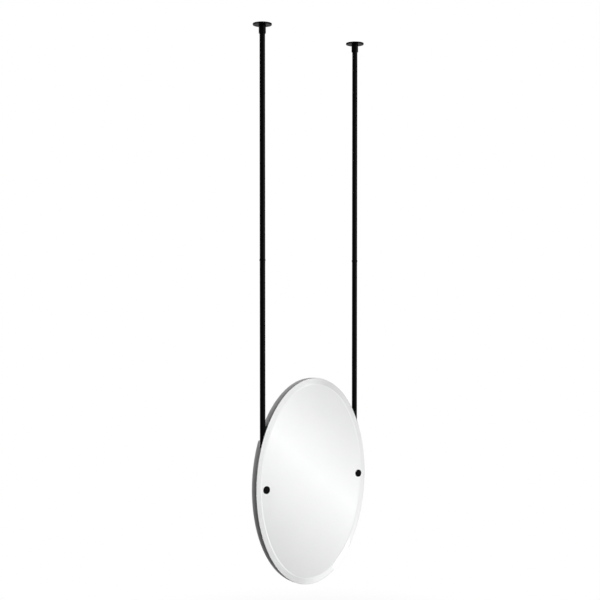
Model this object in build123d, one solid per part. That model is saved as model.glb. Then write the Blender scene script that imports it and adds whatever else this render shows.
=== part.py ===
from build123d import *
import os
from math import sqrt

# Ceiling-hung oval mirror. Millimetres, +Z up, the mirror faces -Y.
# The origin lies on the ceiling, midway between the two rods, whose axes are at Y = 0.

# Rods and the heights that hang from the ceiling
rod_inset = 40.45
rod_diameter = 19.05
rod_wall = 1.5
knob_drop = 1590.0
ring_drop = 803.3

# Ceiling plates and the covers that hide them
plate_diameter = 56.0
plate_thickness = 3.0
plate_post_diameter = 10.0
plate_post_length = 18.0
screw_circle = 40.0
screw_count = 3
screw_hole_diameter = 5.0
screw_head_diameter = 9.0
cover_diameter = 65.2
cover_skin = 1.9
cover_plate_gap = 0.4
cover_rim_round = 1.4
collar_wall = 2.4
collar_length = 27.7
collar_round = 1.2
collar_root_round = 0.8
cover_slide_gap = 0.3
grub_diameter = 4.0
grub_socket = 2.0
grub_socket_depth = 1.2
grub_length = 2.2
grub_drop = 20.0

# Screwed joint at mid length of each rod
ring_diameter = 21.0
ring_height = 6.8
ring_chamfer = 0.6
joint_stud_diameter = 12.0
joint_stud_grip = 18.0
bush_length = 20.0
thread_gap = 0.05
brazing_gap = 0.05

# Glass
glass_width = 533.4
glass_height = 736.6
glass_thickness = 5.0
bevel_width = 22.2
edge_land = 2.0
silver_thickness = 0.1
silver_inset = 0.8
glass_hole_diameter = 10.0

# Backing board, held to the glass by tape, with an open channel for each rod
tape_thickness = 0.8
tape_width = 25.0
tape_pitch = 96.0
tape_count = 4
tape_end_margin = 60.0
board_thickness = 23.5
edge_crown = 1.4
back_taper = 0.8
channel_floor_gap = 0.375
channel_web = 1.6
channel_side_gap = 0.75
channel_end_gap = 2.5
relief_run = 15.0
relief_height = 145.0
web_hole_diameter = 7.0

# Swivel between each rod end and the glass
fork_shoulder = 16.0
fork_slot_top = 8.0
fork_slot_width = 8.4
fork_neck_height = 9.0
fork_cheek_radius = 7.5
fork_front_cut = 5.8
fork_spigot = 20.0
pin_diameter = 5.0
pin_end_inset = 0.3
pin_press_gap = 0.02
pin_running_gap = 0.05
eye_radius = 6.5
eye_side_gap = 0.2
stud_diameter = 6.0
stud_flange_diameter = 12.0
stud_flange_thickness = 1.8
stud_neck_height = 7.0
stud_passing_gap = 0.2
stud_reach = 4.6
rear_washer_diameter = 14.0
rear_washer_thickness = 0.9
sleeve_gap = 0.1

# Knobs on the face of the glass
knob_diameter = 26.4
knob_height = 6.5
knob_dome = 0.8
knob_edge_round = 1.3
knob_bore_spare = 0.4
front_washer_diameter = 20.0
front_washer_thickness = 0.8

# Places worked out from the sizes above
rod_spacing = glass_width - 2 * rod_inset
rod_radius = rod_diameter / 2
tube_bore_radius = rod_radius - rod_wall
bush_radius = tube_bore_radius - brazing_gap
ring_top = -ring_drop + ring_height / 2
ring_bottom = -ring_drop - ring_height / 2
knob_level = -knob_drop
lower_rod_end = knob_level + fork_shoulder
channel_floor = -(rod_radius + channel_floor_gap)
board_front = channel_floor - channel_web
board_back = board_front + board_thickness
silver_back = board_front - tape_thickness
glass_back = silver_back - silver_thickness
edge_front = glass_back - edge_land
glass_front = glass_back - glass_thickness
washer_front = glass_front - front_washer_thickness
knob_front = washer_front - knob_height
stud_tip = washer_front - stud_reach
stud_flange_front = channel_floor + rear_washer_thickness
stud_flange_back = stud_flange_front + stud_flange_thickness
half_width = glass_width / 2
half_height = glass_height / 2
channel_half_width = rod_radius + channel_side_gap
channel_bottom = knob_level - rod_radius - channel_end_gap
cover_depth = plate_thickness + cover_plate_gap + cover_skin
collar_radius = rod_radius + cover_slide_gap + collar_wall
stud_clearance_radius = stud_diameter / 2 + stud_passing_gap
spare = 1.0


def upright(radius, top, bottom):
    """A round bar on the rod's axis between two heights."""
    return Pos(0, 0, (top + bottom) / 2) * Cylinder(radius, top - bottom)


def tube(radius, bore_radius, top, bottom):
    """A round tube on the rod's axis; the bore is cut past both ends."""
    return upright(radius, top, bottom) - upright(bore_radius, top + spare, bottom - spare)


def across(radius, front, back):
    """A round bar that runs front to back through the knob's centre."""
    centre = Pos(0, (front + back) / 2, knob_level)
    return centre * Rot(X=90) * Cylinder(radius, back - front)


def block(x_size, front, back, bottom, top):
    """A box centred on the rod's axis in X."""
    centre = Pos(0, (front + back) / 2, (bottom + top) / 2)
    return centre * Box(x_size, back - front, top - bottom)


def oval(inset, y):
    """The outline of the glass, drawn in by an inset, at a depth."""
    plane = Plane(origin=(0, y, knob_level), x_dir=(1, 0, 0), z_dir=(0, 1, 0))
    return plane * Ellipse(half_width - inset, half_height - inset)


def at_rods(piece):
    """Copies of a cutting tool at both rods."""
    return [Pos(side * rod_spacing / 2, 0, 0) * piece for side in (-1, 1)]


def ceiling_plate():
    """Steel disc with a threaded post for the rod and countersunk holes for the ceiling screws."""
    plate = upright(plate_diameter / 2, 0, -plate_thickness)
    plate += upright(plate_post_diameter / 2, 0, -plate_thickness - plate_post_length)
    sink_depth = (screw_head_diameter - screw_hole_diameter) / 2
    sink = Cone(screw_head_diameter / 2, screw_hole_diameter / 2, sink_depth)
    hole = Cylinder(screw_hole_diameter / 2, plate_thickness * 3)
    for place in PolarLocations(screw_circle / 2, screw_count, start_angle=90):
        plate -= place * hole
        plate -= place * Pos(0, 0, -plate_thickness + sink_depth / 2) * sink
    return plate


def cover_flange():
    """Round cover with a collar: it hides the ceiling plate and slides on the rod."""
    disc = upright(cover_diameter / 2, 0, -cover_depth)
    disc = fillet(disc.edges().filter_by(GeomType.CIRCLE).sort_by(Axis.Z)[0], cover_rim_round)
    collar = upright(collar_radius, -cover_depth + cover_skin, -cover_depth - collar_length)
    collar = fillet(collar.edges().filter_by(GeomType.CIRCLE).sort_by(Axis.Z)[0], collar_round)
    body = disc + collar
    root = [
        edge
        for edge in body.edges().filter_by(GeomType.CIRCLE)
        if abs(edge.radius - collar_radius) < 0.01 and abs(edge.center().Z + cover_depth) < 0.01
    ]
    body = fillet(root, collar_root_round)
    recess_radius = plate_diameter / 2 + cover_plate_gap
    body -= upright(recess_radius, spare, -plate_thickness - cover_plate_gap)
    body -= upright(rod_radius + cover_slide_gap, spare, -cover_depth - collar_length - spare)
    screw_hole = Rot(X=-90) * Cylinder(grub_diameter / 2 + thread_gap, collar_radius * 2)
    return body - Pos(0, collar_radius, -grub_drop) * screw_hole


def collar_screw():
    """Grub screw in the back of the collar, with a hexagon socket."""
    inner = rod_radius + cover_slide_gap
    middle = Pos(0, inner + grub_length / 2, -grub_drop)
    screw = middle * Rot(X=90) * Cylinder(grub_diameter / 2, grub_length)
    head = (0, inner + grub_length, -grub_drop)
    socket_plane = Plane(origin=head, x_dir=(1, 0, 0), z_dir=(0, 1, 0))
    socket = socket_plane * RegularPolygon(grub_socket / sqrt(3), 6)
    return screw - extrude(socket, amount=-grub_socket_depth)


def joint_ring():
    """The ring that shows where the two lengths of rod are screwed together."""
    ring = tube(ring_diameter / 2, joint_stud_diameter / 2 + thread_gap, ring_top, ring_bottom)
    outer = ring.edges().filter_by(GeomType.CIRCLE).group_by(SortBy.RADIUS)[-1]
    return chamfer(outer, ring_chamfer)


def threaded_bush(top, thread_diameter):
    """A bush brazed into the end of a rod, with a thread down its middle."""
    return tube(bush_radius, thread_diameter / 2 + thread_gap, top, top - bush_length)


def rod_end_fork():
    """Fork at the foot of the rod: two cheeks hold the pin that the mirror tilts on."""
    shoulder = upright(rod_radius, lower_rod_end, knob_level + fork_neck_height)
    spigot = upright(bush_radius, lower_rod_end + fork_spigot, lower_rod_end - spare)
    cheeks = Pos(0, 0, knob_level) * Rot(Y=90) * Cylinder(fork_cheek_radius, rod_diameter)
    cheeks += block(
        rod_diameter, -fork_front_cut, fork_cheek_radius, knob_level, knob_level + fork_neck_height + spare
    )
    cheeks &= upright(rod_radius, lower_rod_end - spare, knob_level - rod_diameter)
    fork = shoulder + spigot + cheeks
    fork -= block(
        fork_slot_width, -rod_diameter, rod_diameter, knob_level - rod_diameter, knob_level + fork_slot_top
    )
    front_of_cheeks = block(
        rod_diameter + spare, -rod_diameter, -fork_front_cut, knob_level - rod_diameter,
        knob_level + fork_neck_height,
    )
    fork -= front_of_cheeks
    pin_hole = Rot(Y=90) * Cylinder(pin_diameter / 2 + pin_press_gap, rod_diameter * 2)
    return fork - Pos(0, 0, knob_level) * pin_hole


def swivel_pin():
    """Cross pin through the fork and the eye of the swivel stud."""
    length = rod_diameter - 2 * pin_end_inset
    return Pos(0, 0, knob_level) * Rot(Y=90) * Cylinder(pin_diameter / 2, length)


def swivel_stud():
    """An eye on the pin, a flange behind the board and a thread for the knob, in one piece."""
    eye_width = fork_slot_width - 2 * eye_side_gap
    stud = Pos(0, 0, knob_level) * Rot(Y=90) * Cylinder(eye_radius, eye_width)
    stud += block(
        eye_width, stud_flange_front, 0, knob_level - stud_neck_height / 2,
        knob_level + stud_neck_height / 2,
    )
    stud += across(stud_flange_diameter / 2, stud_flange_front, stud_flange_back)
    stud += across(stud_diameter / 2, stud_tip, stud_flange_back)
    eye_hole = Rot(Y=90) * Cylinder(pin_diameter / 2 + pin_running_gap, rod_diameter)
    return stud - Pos(0, 0, knob_level) * eye_hole


def washer(diameter, front, back):
    """A flat washer on the swivel stud."""
    return across(diameter / 2, front, back) - across(stud_clearance_radius, front - spare, back + spare)


def knob():
    """Round knob with a slightly domed face and a blind thread."""
    radius = knob_diameter / 2
    dome_radius = (radius**2 + knob_dome**2) / (2 * knob_dome)
    rim_front = knob_front + knob_dome
    half_way = knob_front + dome_radius - sqrt(dome_radius**2 - (radius / 2) ** 2)
    side = Polyline((0, knob_front), (0, washer_front), (radius, washer_front), (radius, rim_front))
    dome = ThreePointArc((radius, rim_front), (radius / 2, half_way), (0, knob_front))
    profile = make_face(side + dome)
    rim = profile.vertices().group_by(Axis.X)[-1].sort_by(Axis.Y)[0]
    profile = fillet(rim, knob_edge_round)
    body = Pos(0, 0, knob_level) * revolve(profile, Axis.Y)
    bore_end = stud_tip - knob_bore_spare
    return body - across(stud_diameter / 2 + thread_gap, bore_end, washer_front + spare)


def glass_pane():
    """Oval glass with a wide bevel round its face and a hole for each stud."""
    pane = loft(
        [oval(0, glass_back), oval(0, edge_front), oval(bevel_width, glass_front)],
        ruled=True,
    )
    hole = across(glass_hole_diameter / 2, glass_front - spare, glass_back + spare)
    return pane - at_rods(hole)


def silver_coating():
    """The silvered layer on the back of the glass, set in a little from its edge."""
    film = extrude(oval(silver_inset, glass_back), amount=silver_thickness)
    hole = across(glass_hole_diameter / 2, glass_back - spare, silver_back + spare)
    return film - at_rods(hole)


def mounting_tape():
    """Upright strips of foam tape between the silvering and the board."""
    strips = []
    for place in range(tape_count):
        x = (place - (tape_count - 1) / 2) * tape_pitch
        reach = half_height * sqrt(1 - (x / half_width) ** 2) - tape_end_margin
        strips.append(Pos(x, 0, 0) * block(
            tape_width, silver_back, board_front, knob_level - reach, knob_level + reach
        ))
    return Compound(children=strips)


def relief(side):
    """The slanted cut outside a channel's mouth, where board would run out to a feather edge."""
    wall = side * (rod_spacing / 2 + channel_half_width)
    inside = wall - side * channel_half_width
    start = board_front + relief_run
    outline = Plane.XY.offset(knob_level + relief_height) * make_face(
        Polyline(
            (wall, start),
            (wall + side * relief_run, board_front),
            (wall + side * relief_run, board_front - spare),
            (inside, board_front - spare),
            (inside, start),
            close=True,
        )
    )
    return extrude(outline, amount=half_height)


def backing_board():
    """Board behind the glass: crowned rim, and a channel open to the top and back for each rod."""
    middle = (board_front + board_back) / 2
    taper_front = board_back - back_taper
    board = loft([oval(edge_crown, board_front), oval(0, middle), oval(edge_crown, taper_front)])
    board += loft([oval(edge_crown, taper_front), oval(edge_crown + back_taper, board_back)])
    channel = block(
        2 * channel_half_width, channel_floor, board_back + spare, channel_bottom, knob_level + half_height
    )
    web_hole = across(web_hole_diameter / 2, board_front - spare, channel_floor + spare)
    board -= at_rods(channel)
    board -= at_rods(web_hole)
    return board - [relief(-1), relief(1)]


paired = {
    "ceiling_plate": ceiling_plate(),
    "cover_flange": cover_flange(),
    "collar_screw": collar_screw(),
    "rod_top_bush": threaded_bush(-plate_thickness, plate_post_diameter),
    "upper_rod": tube(rod_radius, tube_bore_radius, -plate_thickness, ring_top),
    "upper_joint_bush": threaded_bush(ring_top + bush_length, joint_stud_diameter),
    "joint_ring": joint_ring(),
    "joint_stud": upright(
        joint_stud_diameter / 2, ring_top + joint_stud_grip, ring_bottom - joint_stud_grip
    ),
    "lower_joint_bush": threaded_bush(ring_bottom, joint_stud_diameter),
    "lower_rod": tube(rod_radius, tube_bore_radius, ring_bottom, lower_rod_end),
    "rod_end_fork": rod_end_fork(),
    "swivel_pin": swivel_pin(),
    "swivel_stud": swivel_stud(),
    "rear_washer": washer(rear_washer_diameter, channel_floor, stud_flange_front),
    "hole_sleeve": washer(glass_hole_diameter - 2 * sleeve_gap, glass_front, glass_back),
    "front_washer": washer(front_washer_diameter, washer_front, glass_front),
    "knob": knob(),
}
single = {
    "glass_pane": glass_pane(),
    "silver_coating": silver_coating(),
    "mounting_tape": mounting_tape(),
    "backing_board": backing_board(),
}

os.makedirs("parts", exist_ok=True)
for name, piece in single.items():
    export_step(piece, f"parts/{name}.step")
for name, piece in paired.items():
    for side_name, side in (("left", -1), ("right", 1)):
        export_step(Pos(side * rod_spacing / 2, 0, 0) * piece, f"parts/{name}_{side_name}.step")
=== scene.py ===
from math import cos, pi, radians, sin

import bmesh
import bpy
from mathutils import Matrix, Vector


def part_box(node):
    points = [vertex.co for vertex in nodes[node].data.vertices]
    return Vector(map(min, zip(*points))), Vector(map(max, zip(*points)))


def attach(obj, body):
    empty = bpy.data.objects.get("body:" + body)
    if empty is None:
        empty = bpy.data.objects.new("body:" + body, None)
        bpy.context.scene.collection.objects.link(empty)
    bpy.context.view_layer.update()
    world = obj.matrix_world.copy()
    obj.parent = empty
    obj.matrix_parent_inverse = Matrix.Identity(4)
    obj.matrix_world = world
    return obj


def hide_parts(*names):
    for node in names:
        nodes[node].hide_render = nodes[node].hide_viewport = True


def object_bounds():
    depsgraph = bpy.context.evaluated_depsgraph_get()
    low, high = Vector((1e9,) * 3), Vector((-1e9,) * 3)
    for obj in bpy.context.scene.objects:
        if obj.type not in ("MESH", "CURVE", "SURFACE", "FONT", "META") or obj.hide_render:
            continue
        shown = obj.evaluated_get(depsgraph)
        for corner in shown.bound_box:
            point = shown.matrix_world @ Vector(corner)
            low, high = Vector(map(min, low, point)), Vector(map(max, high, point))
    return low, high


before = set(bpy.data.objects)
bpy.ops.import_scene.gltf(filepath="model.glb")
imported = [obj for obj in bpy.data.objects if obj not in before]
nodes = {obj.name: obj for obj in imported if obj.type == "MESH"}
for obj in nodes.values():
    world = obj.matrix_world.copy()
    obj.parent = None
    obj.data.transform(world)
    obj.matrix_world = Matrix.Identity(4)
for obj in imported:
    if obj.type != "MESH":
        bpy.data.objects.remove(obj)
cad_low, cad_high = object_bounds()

# Places read from the frame, in metres
sides = ("left", "right")
pane_low, pane_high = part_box("glass_pane")
board_low, board_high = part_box("backing_board")
silver_low, silver_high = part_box("silver_coating")
knob_boxes = {side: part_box(f"knob_{side}") for side in sides}
knob_centre = {side: (low + high) / 2 for side, (low, high) in knob_boxes.items()}
rod_radius = (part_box("lower_rod_left")[1].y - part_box("lower_rod_left")[0].y) / 2
knob_level = knob_centre["left"].z
half_width = (pane_high.x - pane_low.x) / 2
half_height = (pane_high.z - pane_low.z) / 2

# The camera that took the photograph, measured from the middle of the mirror on the rods' plane
camera_place = Vector((-2.6121, -2.7394, 0.7395))
camera_turn = radians(43.076)
camera_dip = radians(-1.408)
camera_lens = 63.70
camera_sensor = 36.0
camera_reach = 100

# Shapes that the frame doesn't give, in metres, and the angles from which an edge is sharp
oval_segments = 360
hole_segments = 96
web_hole_segments = 48
pane_sharp = radians(2.6)
board_sharp = radians(35)
plain_sharp = radians(30)
edge_land = 0.002
bevel_width = 0.0222
glass_arris = 0.0003
glass_hole_radius = 0.005
web_hole_radius = 0.0035
edge_crown = 0.0014
crown_steps = 14
board_arris = 0.0005
channel_gap = 0.00075
channel_floor_gap = 0.000375
channel_end = rod_radius + 0.0025
relief_run = 0.015
relief_height = 0.145
silver_bite = 0.00002
silver_lean = -0.5
cut_past = 0.002
channel_past = 0.01

# Finishes: the range that a noise mostly keeps to, and what the black coats and the steel share
noise_low = 0.3
noise_high = 0.7
black_specular = 0.025
steel_unevenness = 0.06

# The studio: the fade of the surroundings was measured on the face of the mirror
sheen_azimuth = radians(43.8)
sheen_dip = radians(-11.1)
sheen_across = Vector((cos(sheen_azimuth), sin(sheen_azimuth), 0))
sheen_upward = Vector((
    -sin(sheen_azimuth) * sin(sheen_dip), cos(sheen_azimuth) * sin(sheen_dip), cos(sheen_dip)
))
sheen_across_reach = 0.0505
sheen_upward_reach = 0.0942
sheen_across_rate = 3.52
sheen_upward_rate = 3.91
sheen_beyond = 0.09
sheen_shift = -0.04
sheen_half_band = 0.5
sheen_top = 1.05
sheen_foot = 0.665
full_white = 1.0
fill_level = 0.06
floor_drop = 0.44
floor_radius = 12.0
floor_segments = 128
floor_grey = 0.85
floor_roughness = 0.8
shadow_reach = 0.7
shadow_end = 1.5
white_share = 0.6
lamp_behind_place = Vector((-1.35, 3.3, 0.5))
lamp_behind_size = (1.2, 2.0)
lamp_behind_power = 130
lamp_front_place = Vector((1.05, -3.45, -0.4))
lamp_front_size = (1.0, 2.4)
lamp_front_power = 140


def on_mirror(piece, node_name):
    """Lets a new piece ride on the mirror in place of a CAD node."""
    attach(piece, "mirror")
    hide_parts(node_name)
    return piece


def shade_smooth(bm, sharp_angle):
    """Shades a bmesh smooth but for the edges that are sharper than an angle."""
    for face in bm.faces:
        face.smooth = True
    for edge in bm.edges:
        edge.smooth = len(edge.link_faces) == 2 and edge.calc_face_angle(0) < sharp_angle


def keep_mesh(bm, name, sharp_angle):
    """Turns a bmesh into an object, with its edges shaded smooth or sharp."""
    bmesh.ops.recalc_face_normals(bm, faces=bm.faces)
    shade_smooth(bm, sharp_angle)
    mesh = bpy.data.meshes.new(name)
    bm.to_mesh(mesh)
    bm.free()
    piece = bpy.data.objects.new(name, mesh)
    bpy.context.scene.collection.objects.link(piece)
    return piece


def oval_place(inset, y):
    """Where a unit circle goes to become the mirror's outline, drawn in by an inset, at a depth."""
    size = Matrix.Diagonal((half_width - inset, half_height - inset, 1, 1))
    return Matrix.Translation((0, y, knob_level)) @ Matrix.Rotation(pi / 2, 4, "X") @ size


def oval_stack(outlines):
    """A closed solid through a row of ovals, each given as an inset and a depth."""
    bm = bmesh.new()
    last = len(outlines) - 1
    before = None
    for place, (inset, y) in enumerate(outlines):
        made = bmesh.ops.create_circle(
            bm, segments=oval_segments, radius=1, cap_ends=place in (0, last),
            matrix=oval_place(inset, y),
        )
        ring = list({edge for vert in made["verts"] for edge in vert.link_edges})
        if before:
            bmesh.ops.bridge_loops(bm, edges=before + ring)
        before = ring
    return bm


def round_bar(radius, front, back, centre, segments):
    """A closed round bar that runs front to back through a point of the face."""
    bm = bmesh.new()
    middle = Matrix.Translation((centre.x, (front + back) / 2, centre.z))
    bmesh.ops.create_cone(
        bm, cap_ends=True, segments=segments, radius1=radius, radius2=radius, depth=back - front,
        matrix=middle @ Matrix.Rotation(pi / 2, 4, "X"),
    )
    return bm


def hole_cutters(radius, front, back, segments=hole_segments):
    """What is cut out for the holes behind the two knobs, from a front to a back."""
    return [
        keep_mesh(round_bar(radius, front, back, knob_centre[side], segments), "hole", plain_sharp)
        for side in sides
    ]


def cut_away(piece, cutters, sharp_angle):
    """Cuts other shapes out of a piece, keeps the result as its mesh and shades it again."""
    for cutter in cutters:
        cut = piece.modifiers.new("cut", "BOOLEAN")
        cut.object = cutter
        cut.solver = "EXACT"
    bpy.context.view_layer.update()
    cut_piece = piece.evaluated_get(bpy.context.evaluated_depsgraph_get())
    shaped = bpy.data.meshes.new_from_object(cut_piece)
    piece.modifiers.clear()
    piece.data = shaped
    for cutter in cutters:
        bpy.data.objects.remove(cutter)
    bm = bmesh.new()
    bm.from_mesh(piece.data)
    shade_smooth(bm, sharp_angle)
    bm.to_mesh(piece.data)
    bm.free()


def make_pane():
    """The oval of clear glass: small ground arrises, an upright edge and the wide bevel."""
    back, front = pane_high.y, pane_low.y
    edge = back - edge_land
    bm = oval_stack([
        (glass_arris, back),
        (0, back - glass_arris),
        (0, edge + glass_arris),
        (glass_arris, edge),
        (bevel_width, front),
    ])
    pane = keep_mesh(bm, "mirror_pane", pane_sharp)
    cut_away(pane, hole_cutters(glass_hole_radius, front - cut_past, back + cut_past), pane_sharp)
    return on_mirror(pane, "glass_pane")


def make_silvering():
    """The silvered layer on the back of the glass, which reaches a little way into it."""
    front, back = silver_low.y, silver_high.y
    inset = half_width - (silver_high.x - silver_low.x) / 2
    layers = oval_stack([(inset, back), (inset, front - silver_bite)])
    silvering = keep_mesh(layers, "silvering", plain_sharp)
    cut_away(silvering, hole_cutters(glass_hole_radius, front - cut_past, back + cut_past), plain_sharp)
    return on_mirror(silvering, "silver_coating")


def channel_cutter(side):
    """What is cut out of the board for one rod: the open channel behind it."""
    centre = knob_centre[side]
    half = rod_radius + channel_gap
    low = Vector((centre.x - half, -(rod_radius + channel_floor_gap), knob_level - channel_end))
    top = knob_level + half_height + channel_past
    high = Vector((centre.x + half, board_high.y + channel_past, top))
    bm = bmesh.new()
    bmesh.ops.create_cube(bm, size=1, matrix=Matrix.LocRotScale((low + high) / 2, None, high - low))
    return keep_mesh(bm, f"channel_{side}", plain_sharp)


def relief_cutter(side):
    """The slanted cut outside a channel's mouth, upwards from a little above the knob."""
    sign = -1 if side == "left" else 1
    wall = knob_centre[side].x + sign * (rod_radius + channel_gap)
    front = board_low.y
    corners = [
        (wall, front + relief_run),
        (wall + sign * relief_run, front),
        (wall + sign * relief_run, front - cut_past),
        (knob_centre[side].x, front - cut_past),
        (knob_centre[side].x, front + relief_run),
    ]
    bm = bmesh.new()
    verts = [bm.verts.new((x, y, knob_level + relief_height)) for x, y in corners]
    face = bm.faces.new(verts)
    grown = bmesh.ops.extrude_face_region(bm, geom=[face])
    top = [v for v in grown["geom"] if isinstance(v, bmesh.types.BMVert)]
    bmesh.ops.translate(bm, verts=top, vec=(0, 0, half_height))
    return keep_mesh(bm, f"relief_{side}", plain_sharp)


def make_board():
    """The backing board: crowned rim, small arrises, rod channels, reliefs and stud holes."""
    front, back = board_low.y, board_high.y
    depth = back - front
    outlines = [(edge_crown + board_arris, front)]
    for step in range(crown_steps + 1):
        across = step / crown_steps
        y = front + board_arris + (depth - 2 * board_arris) * across
        outlines.append((edge_crown * (2 * across - 1) ** 2, y))
    outlines.append((edge_crown + board_arris, back))
    board = keep_mesh(oval_stack(outlines), "lacquered_board", board_sharp)
    cutters = [channel_cutter(side) for side in sides] + [relief_cutter(side) for side in sides]
    cutters += hole_cutters(web_hole_radius, front - cut_past, 0, web_hole_segments)
    cut_away(board, cutters, board_sharp)
    return on_mirror(board, "backing_board")


def new_material(name):
    """An empty node material with its shader, ready to be given a finish."""
    material = bpy.data.materials.new(name)
    material.use_nodes = True
    shader = material.node_tree.nodes["Principled BSDF"]
    return material, material.node_tree, shader


def add_node(tree, kind, inputs=None, **settings):
    """A node with its settings and its unlinked inputs."""
    node = tree.nodes.new(kind)
    for name, value in settings.items():
        setattr(node, name, value)
    for name, value in (inputs or {}).items():
        node.inputs[name].default_value = value
    return node


def noise(tree, scale, detail=4.0, stretch=None):
    """A noise over the object's own coordinates, with features of 1/scale metres."""
    place = add_node(tree, "ShaderNodeTexCoord")
    source = place.outputs["Object"]
    if stretch:
        mapping = add_node(tree, "ShaderNodeMapping", {"Scale": stretch})
        tree.links.new(source, mapping.inputs["Vector"])
        source = mapping.outputs["Vector"]
    texture = add_node(tree, "ShaderNodeTexNoise", {"Scale": scale, "Detail": detail})
    tree.links.new(source, texture.inputs["Vector"])
    return texture.outputs["Fac"]


def grey(level):
    """A colour of equal parts."""
    return (level,) * 3


def between(tree, factor, low, high):
    """A number that follows a noise from a low to a high value."""
    span = add_node(tree, "ShaderNodeMapRange", {
        "From Min": noise_low, "From Max": noise_high, "To Min": low, "To Max": high,
    })
    tree.links.new(factor, span.inputs["Value"])
    return span.outputs["Result"]


def shades(tree, factor, dark, light):
    """A colour that follows a noise from a dark to a light grey or tint."""
    ramp = add_node(tree, "ShaderNodeValToRGB")
    ramp.color_ramp.elements[0].position = noise_low
    ramp.color_ramp.elements[1].position = noise_high
    ramp.color_ramp.elements[0].color = (*dark, 1)
    ramp.color_ramp.elements[1].color = (*light, 1)
    tree.links.new(factor, ramp.inputs["Fac"])
    return ramp.outputs["Color"]


def rough_skin(tree, shader, factor, strength, distance):
    """Fine relief in a finish, such as the orange peel of a powder coat."""
    bump = add_node(tree, "ShaderNodeBump", {"Strength": strength, "Distance": distance})
    tree.links.new(factor, bump.inputs["Height"])
    tree.links.new(bump.outputs["Normal"], shader.inputs["Normal"])


def satin_black():
    """Satin black powder coat."""
    material, tree, shader = new_material("satin_black_coat")
    patches = noise(tree, 35, 5)
    peel = noise(tree, 1400, 2)
    tree.links.new(shades(tree, patches, grey(0.0012), grey(0.0024)), shader.inputs["Base Color"])
    tree.links.new(between(tree, patches, 0.33, 0.43), shader.inputs["Roughness"])
    shader.inputs["Specular IOR Level"].default_value = black_specular
    rough_skin(tree, shader, peel, 0.03, 0.00005)
    return material


def knob_black():
    """Satin black over turned metal, a shade duller than the rods."""
    material, tree, shader = new_material("knob_black_coat")
    patches = noise(tree, 60, 4)
    peel = noise(tree, 1800, 2)
    tree.links.new(shades(tree, patches, grey(0.0015), grey(0.003)), shader.inputs["Base Color"])
    tree.links.new(between(tree, patches, 0.42, 0.5), shader.inputs["Roughness"])
    shader.inputs["Specular IOR Level"].default_value = black_specular
    rough_skin(tree, shader, peel, 0.04, 0.00005)
    return material


def clear_glass():
    """Clear polished glass with a breath of haze on it."""
    material, tree, shader = new_material("clear_bevelled_glass")
    haze = noise(tree, 9, 3)
    tint = shades(tree, haze, (0.975, 0.985, 0.98), (0.985, 0.992, 0.99))
    tree.links.new(tint, shader.inputs["Base Color"])
    shader.inputs["Roughness"].default_value = 0.0
    shader.inputs["IOR"].default_value = 1.52
    shader.inputs["Transmission Weight"].default_value = 0.96
    return material


def bright_silver():
    """Bright silver behind the glass, very slightly uneven."""
    material, tree, shader = new_material("bright_silvering")
    cloud = noise(tree, 6, 3)
    tree.links.new(shades(tree, cloud, grey(0.965), grey(0.975)), shader.inputs["Base Color"])
    shader.inputs["Metallic"].default_value = 1.0
    shader.inputs["Roughness"].default_value = 0.0
    return material


def backing_paint():
    """Grey paint that seals the back and the rim of the silvering."""
    material, tree, shader = new_material("grey_backing_paint")
    cloud = noise(tree, 30, 4)
    tree.links.new(shades(tree, cloud, grey(0.2), grey(0.23)), shader.inputs["Base Color"])
    tree.links.new(between(tree, cloud, 0.5, 0.6), shader.inputs["Roughness"])
    return material


def grey_lacquer():
    """Grey satin lacquer on the board and its rim."""
    material, tree, shader = new_material("grey_satin_lacquer")
    cloud = noise(tree, 14, 5)
    peel = noise(tree, 700, 2)
    tree.links.new(shades(tree, cloud, grey(0.33), grey(0.36)), shader.inputs["Base Color"])
    tree.links.new(between(tree, cloud, 0.38, 0.46), shader.inputs["Roughness"])
    rough_skin(tree, shader, peel, 0.15, 0.00008)
    return material


def plated_steel(name, dark, light, roughness):
    """Zinc plated or plain turned steel, with fine marks round it."""
    material, tree, shader = new_material(name)
    marks = noise(tree, 300, 6, stretch=(1, 1, 6))
    tree.links.new(shades(tree, marks, dark, light), shader.inputs["Base Color"])
    uneven = between(tree, marks, roughness - steel_unevenness, roughness + steel_unevenness)
    tree.links.new(uneven, shader.inputs["Roughness"])
    shader.inputs["Metallic"].default_value = 1.0
    return material


def moulded_nylon(name, dark, light):
    """Moulded nylon of the washers and sleeves."""
    material, tree, shader = new_material(name)
    grain = noise(tree, 500, 3)
    tree.links.new(shades(tree, grain, dark, light), shader.inputs["Base Color"])
    shader.inputs["Roughness"].default_value = 0.5
    rough_skin(tree, shader, grain, 0.1, 0.00005)
    return material


def foam():
    """White closed-cell foam of the mounting tape."""
    material, tree, shader = new_material("white_foam")
    cells = noise(tree, 2500, 2)
    tree.links.new(shades(tree, cells, (0.72, 0.72, 0.7), (0.85, 0.85, 0.83)), shader.inputs["Base Color"])
    shader.inputs["Roughness"].default_value = 0.9
    rough_skin(tree, shader, cells, 0.4, 0.0001)
    return material


def finish_pieces(pieces, material):
    """Gives pieces or CAD nodes one material, in place of what they had."""
    for piece in pieces:
        piece.data.materials.clear()
        piece.data.materials.append(material)


def both_sides(names):
    """The left and right CAD node of each name."""
    return [nodes[f"{name}_{side}"] for name in names for side in sides]


def finish_nodes(names, material):
    """Gives the left and right node of each name one material."""
    finish_pieces(both_sides(names), material)


def paint_back(silvering):
    """Paints the silvering's back and rim, and leaves what looks forward as silver."""
    silvering.data.materials.append(backing_paint())
    for face in silvering.data.polygons:
        face.material_index = 0 if face.normal.y < silver_lean else 1


def hide_from_mirror(things):
    """Keeps things out of what the silver and the glass show, as none shows there in the photograph."""
    for thing in things:
        thing.visible_glossy = False
        thing.visible_transmission = False


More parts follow.
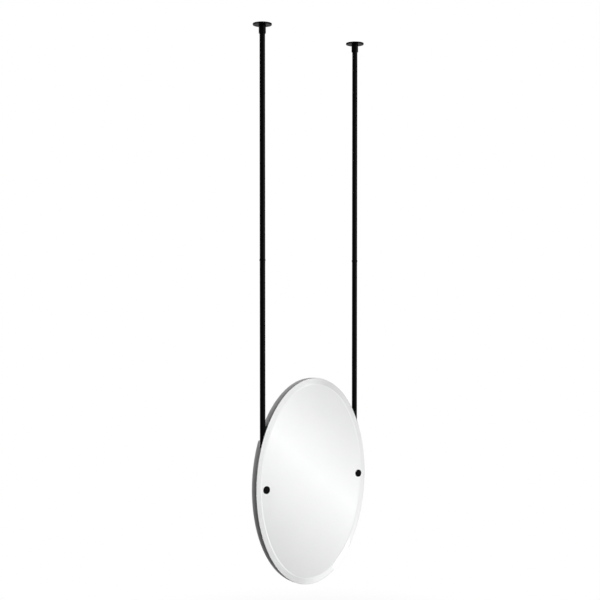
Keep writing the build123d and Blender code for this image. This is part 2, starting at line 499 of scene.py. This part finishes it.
def place_camera():
    """The camera of the photograph."""
    data = bpy.data.cameras.new("camera")
    data.lens = camera_lens
    data.sensor_width = camera_sensor
    data.clip_end = camera_reach
    camera = bpy.data.objects.new("camera", data)
    forward = Vector((
        sin(camera_turn) * cos(camera_dip), cos(camera_turn) * cos(camera_dip), sin(camera_dip)
    ))
    camera.location = Vector((0, 0, knob_level)) + camera_place
    camera.rotation_euler = forward.to_track_quat("-Z", "Y").to_euler()
    bpy.context.scene.collection.objects.link(camera)
    bpy.context.scene.camera = camera


def soft_light(name, place, target, size, power):
    """A large soft lamp that points at a place."""
    data = bpy.data.lights.new(name, "AREA")
    data.shape = "RECTANGLE"
    data.size, data.size_y = size
    data.energy = power
    lamp = bpy.data.objects.new(name, data)
    lamp.location = place
    lamp.rotation_euler = (target - place).to_track_quat("-Z", "Y").to_euler()
    bpy.context.scene.collection.objects.link(lamp)
    return lamp


def eased(tree, source, direction, reach, rate):
    """How far the view leans along a direction, which counts for less past a reach."""
    along = add_node(tree, "ShaderNodeVectorMath", operation="DOT_PRODUCT")
    along.inputs[1].default_value = direction
    tree.links.new(source, along.inputs[0])
    near = add_node(tree, "ShaderNodeMapRange", {
        "From Min": -reach, "From Max": reach, "To Min": -reach, "To Max": reach,
    })
    tree.links.new(along.outputs["Value"], near.inputs["Value"])
    inner = add_node(tree, "ShaderNodeMath", operation="MULTIPLY")
    inner.inputs[1].default_value = rate * (1 - sheen_beyond)
    tree.links.new(near.outputs["Result"], inner.inputs[0])
    outer = add_node(tree, "ShaderNodeMath", operation="MULTIPLY_ADD")
    outer.inputs[1].default_value = rate * sheen_beyond
    tree.links.new(along.outputs["Value"], outer.inputs[0])
    tree.links.new(inner.outputs[0], outer.inputs[2])
    return outer.outputs[0]


def sheen(tree):
    """White surroundings that fade in soft slanted bands, as a silk tent round the mirror would show."""
    place = add_node(tree, "ShaderNodeTexCoord")
    source = place.outputs["Generated"]
    across = eased(tree, source, sheen_across, sheen_across_reach, sheen_across_rate)
    upward = eased(tree, source, sheen_upward, sheen_upward_reach, sheen_upward_rate)
    both = add_node(tree, "ShaderNodeMath", operation="ADD")
    tree.links.new(across, both.inputs[0])
    tree.links.new(upward, both.inputs[1])
    shifted = add_node(tree, "ShaderNodeMath", operation="ADD")
    shifted.inputs[1].default_value = sheen_shift
    tree.links.new(both.outputs[0], shifted.inputs[0])
    folded = add_node(tree, "ShaderNodeMath", operation="PINGPONG")
    folded.inputs[1].default_value = sheen_half_band
    tree.links.new(shifted.outputs[0], folded.inputs[0])
    level = add_node(tree, "ShaderNodeMapRange", {
        "From Min": 0.0, "From Max": sheen_half_band, "To Min": sheen_top, "To Max": sheen_foot,
    })
    tree.links.new(folded.outputs[0], level.inputs["Value"])
    return level.outputs["Result"]


def light_room():
    """White surroundings for the camera, a soft sheen for what reflects, and a dimmer fill."""
    world = bpy.data.worlds.new("studio")
    bpy.context.scene.world = world
    world.use_nodes = True
    tree = world.node_tree
    background = tree.nodes["Background"]
    background.inputs["Color"].default_value = (1, 1, 1, 1)
    path = add_node(tree, "ShaderNodeLightPath")
    for_fill = add_node(tree, "ShaderNodeMix", data_type="FLOAT")
    tree.links.new(path.outputs["Is Diffuse Ray"], for_fill.inputs["Factor"])
    tree.links.new(sheen(tree), for_fill.inputs["A"])
    for_fill.inputs["B"].default_value = fill_level
    for_camera = add_node(tree, "ShaderNodeMix", data_type="FLOAT")
    tree.links.new(path.outputs["Is Camera Ray"], for_camera.inputs["Factor"])
    tree.links.new(for_fill.outputs["Result"], for_camera.inputs["A"])
    for_camera.inputs["B"].default_value = full_white
    tree.links.new(for_camera.outputs["Result"], background.inputs["Strength"])


def lay_floor():
    """A plain white floor: it keeps the shadow near the mirror and fades to the white background."""
    bm = bmesh.new()
    bmesh.ops.create_circle(
        bm, segments=floor_segments, radius=floor_radius, cap_ends=True,
        matrix=Matrix.Translation((0, 0, cad_low.z - floor_drop)),
    )
    floor = keep_mesh(bm, "floor", plain_sharp)
    material, tree, shader = new_material("white_floor")
    shader.inputs["Base Color"].default_value = (*grey(floor_grey), 1)
    shader.inputs["Roughness"].default_value = floor_roughness
    place = add_node(tree, "ShaderNodeTexCoord")
    flat = add_node(tree, "ShaderNodeVectorMath", operation="MULTIPLY")
    flat.inputs[1].default_value = (1, 1, 0)
    tree.links.new(place.outputs["Object"], flat.inputs[0])
    reach = add_node(tree, "ShaderNodeVectorMath", operation="LENGTH")
    tree.links.new(flat.outputs["Vector"], reach.inputs[0])
    fade = add_node(tree, "ShaderNodeMapRange", {
        "From Min": shadow_reach, "From Max": shadow_end, "To Min": white_share, "To Max": full_white,
    }, interpolation_type="SMOOTHSTEP")
    tree.links.new(reach.outputs["Value"], fade.inputs["Value"])
    path = add_node(tree, "ShaderNodeLightPath")
    seen = add_node(tree, "ShaderNodeMath", operation="MULTIPLY")
    tree.links.new(path.outputs["Is Camera Ray"], seen.inputs[0])
    tree.links.new(fade.outputs["Result"], seen.inputs[1])
    glow = add_node(tree, "ShaderNodeEmission", {"Strength": full_white, "Color": (1, 1, 1, 1)})
    mix = add_node(tree, "ShaderNodeMixShader")
    tree.links.new(seen.outputs[0], mix.inputs["Fac"])
    tree.links.new(shader.outputs[0], mix.inputs[1])
    tree.links.new(glow.outputs[0], mix.inputs[2])
    tree.links.new(mix.outputs[0], tree.nodes["Material Output"].inputs["Surface"])
    floor.data.materials.append(material)
    floor.visible_diffuse = False
    hide_from_mirror([floor])


black = satin_black()
zinc = plated_steel("zinc_plate", (0.5, 0.51, 0.53), (0.66, 0.67, 0.69), 0.32)
turned = plated_steel("turned_steel", grey(0.4), grey(0.56), 0.36)
pane = make_pane()
silvering = make_silvering()
board = make_board()
finish_pieces([pane], clear_glass())
finish_pieces([silvering], bright_silver())
paint_back(silvering)
finish_pieces([board], grey_lacquer())
finish_pieces([nodes["mounting_tape"]], foam())
finish_nodes(["cover_flange", "upper_rod", "joint_ring", "lower_rod", "rod_end_fork", "collar_screw"], black)
finish_nodes(["knob"], knob_black())
finish_nodes(["ceiling_plate", "joint_stud", "swivel_pin", "swivel_stud"], zinc)
finish_nodes(["rod_top_bush", "upper_joint_bush", "lower_joint_bush"], turned)
finish_nodes(["rear_washer", "front_washer"], moulded_nylon("black_nylon", grey(0.01), grey(0.016)))
finish_nodes(["hole_sleeve"], moulded_nylon("pale_nylon", (0.6, 0.6, 0.57), (0.7, 0.7, 0.67)))
hide_from_mirror(both_sides(["knob", "front_washer"]))

place_camera()
light_room()
lay_floor()
target = Vector((0, 0, knob_level))
light_behind = soft_light(
    "light_behind", lamp_behind_place, target, lamp_behind_size, lamp_behind_power
)
hide_from_mirror([light_behind])
soft_light("light_front", lamp_front_place, target, lamp_front_size, lamp_front_power)

bpy.context.scene.view_settings.view_transform = "Standard"
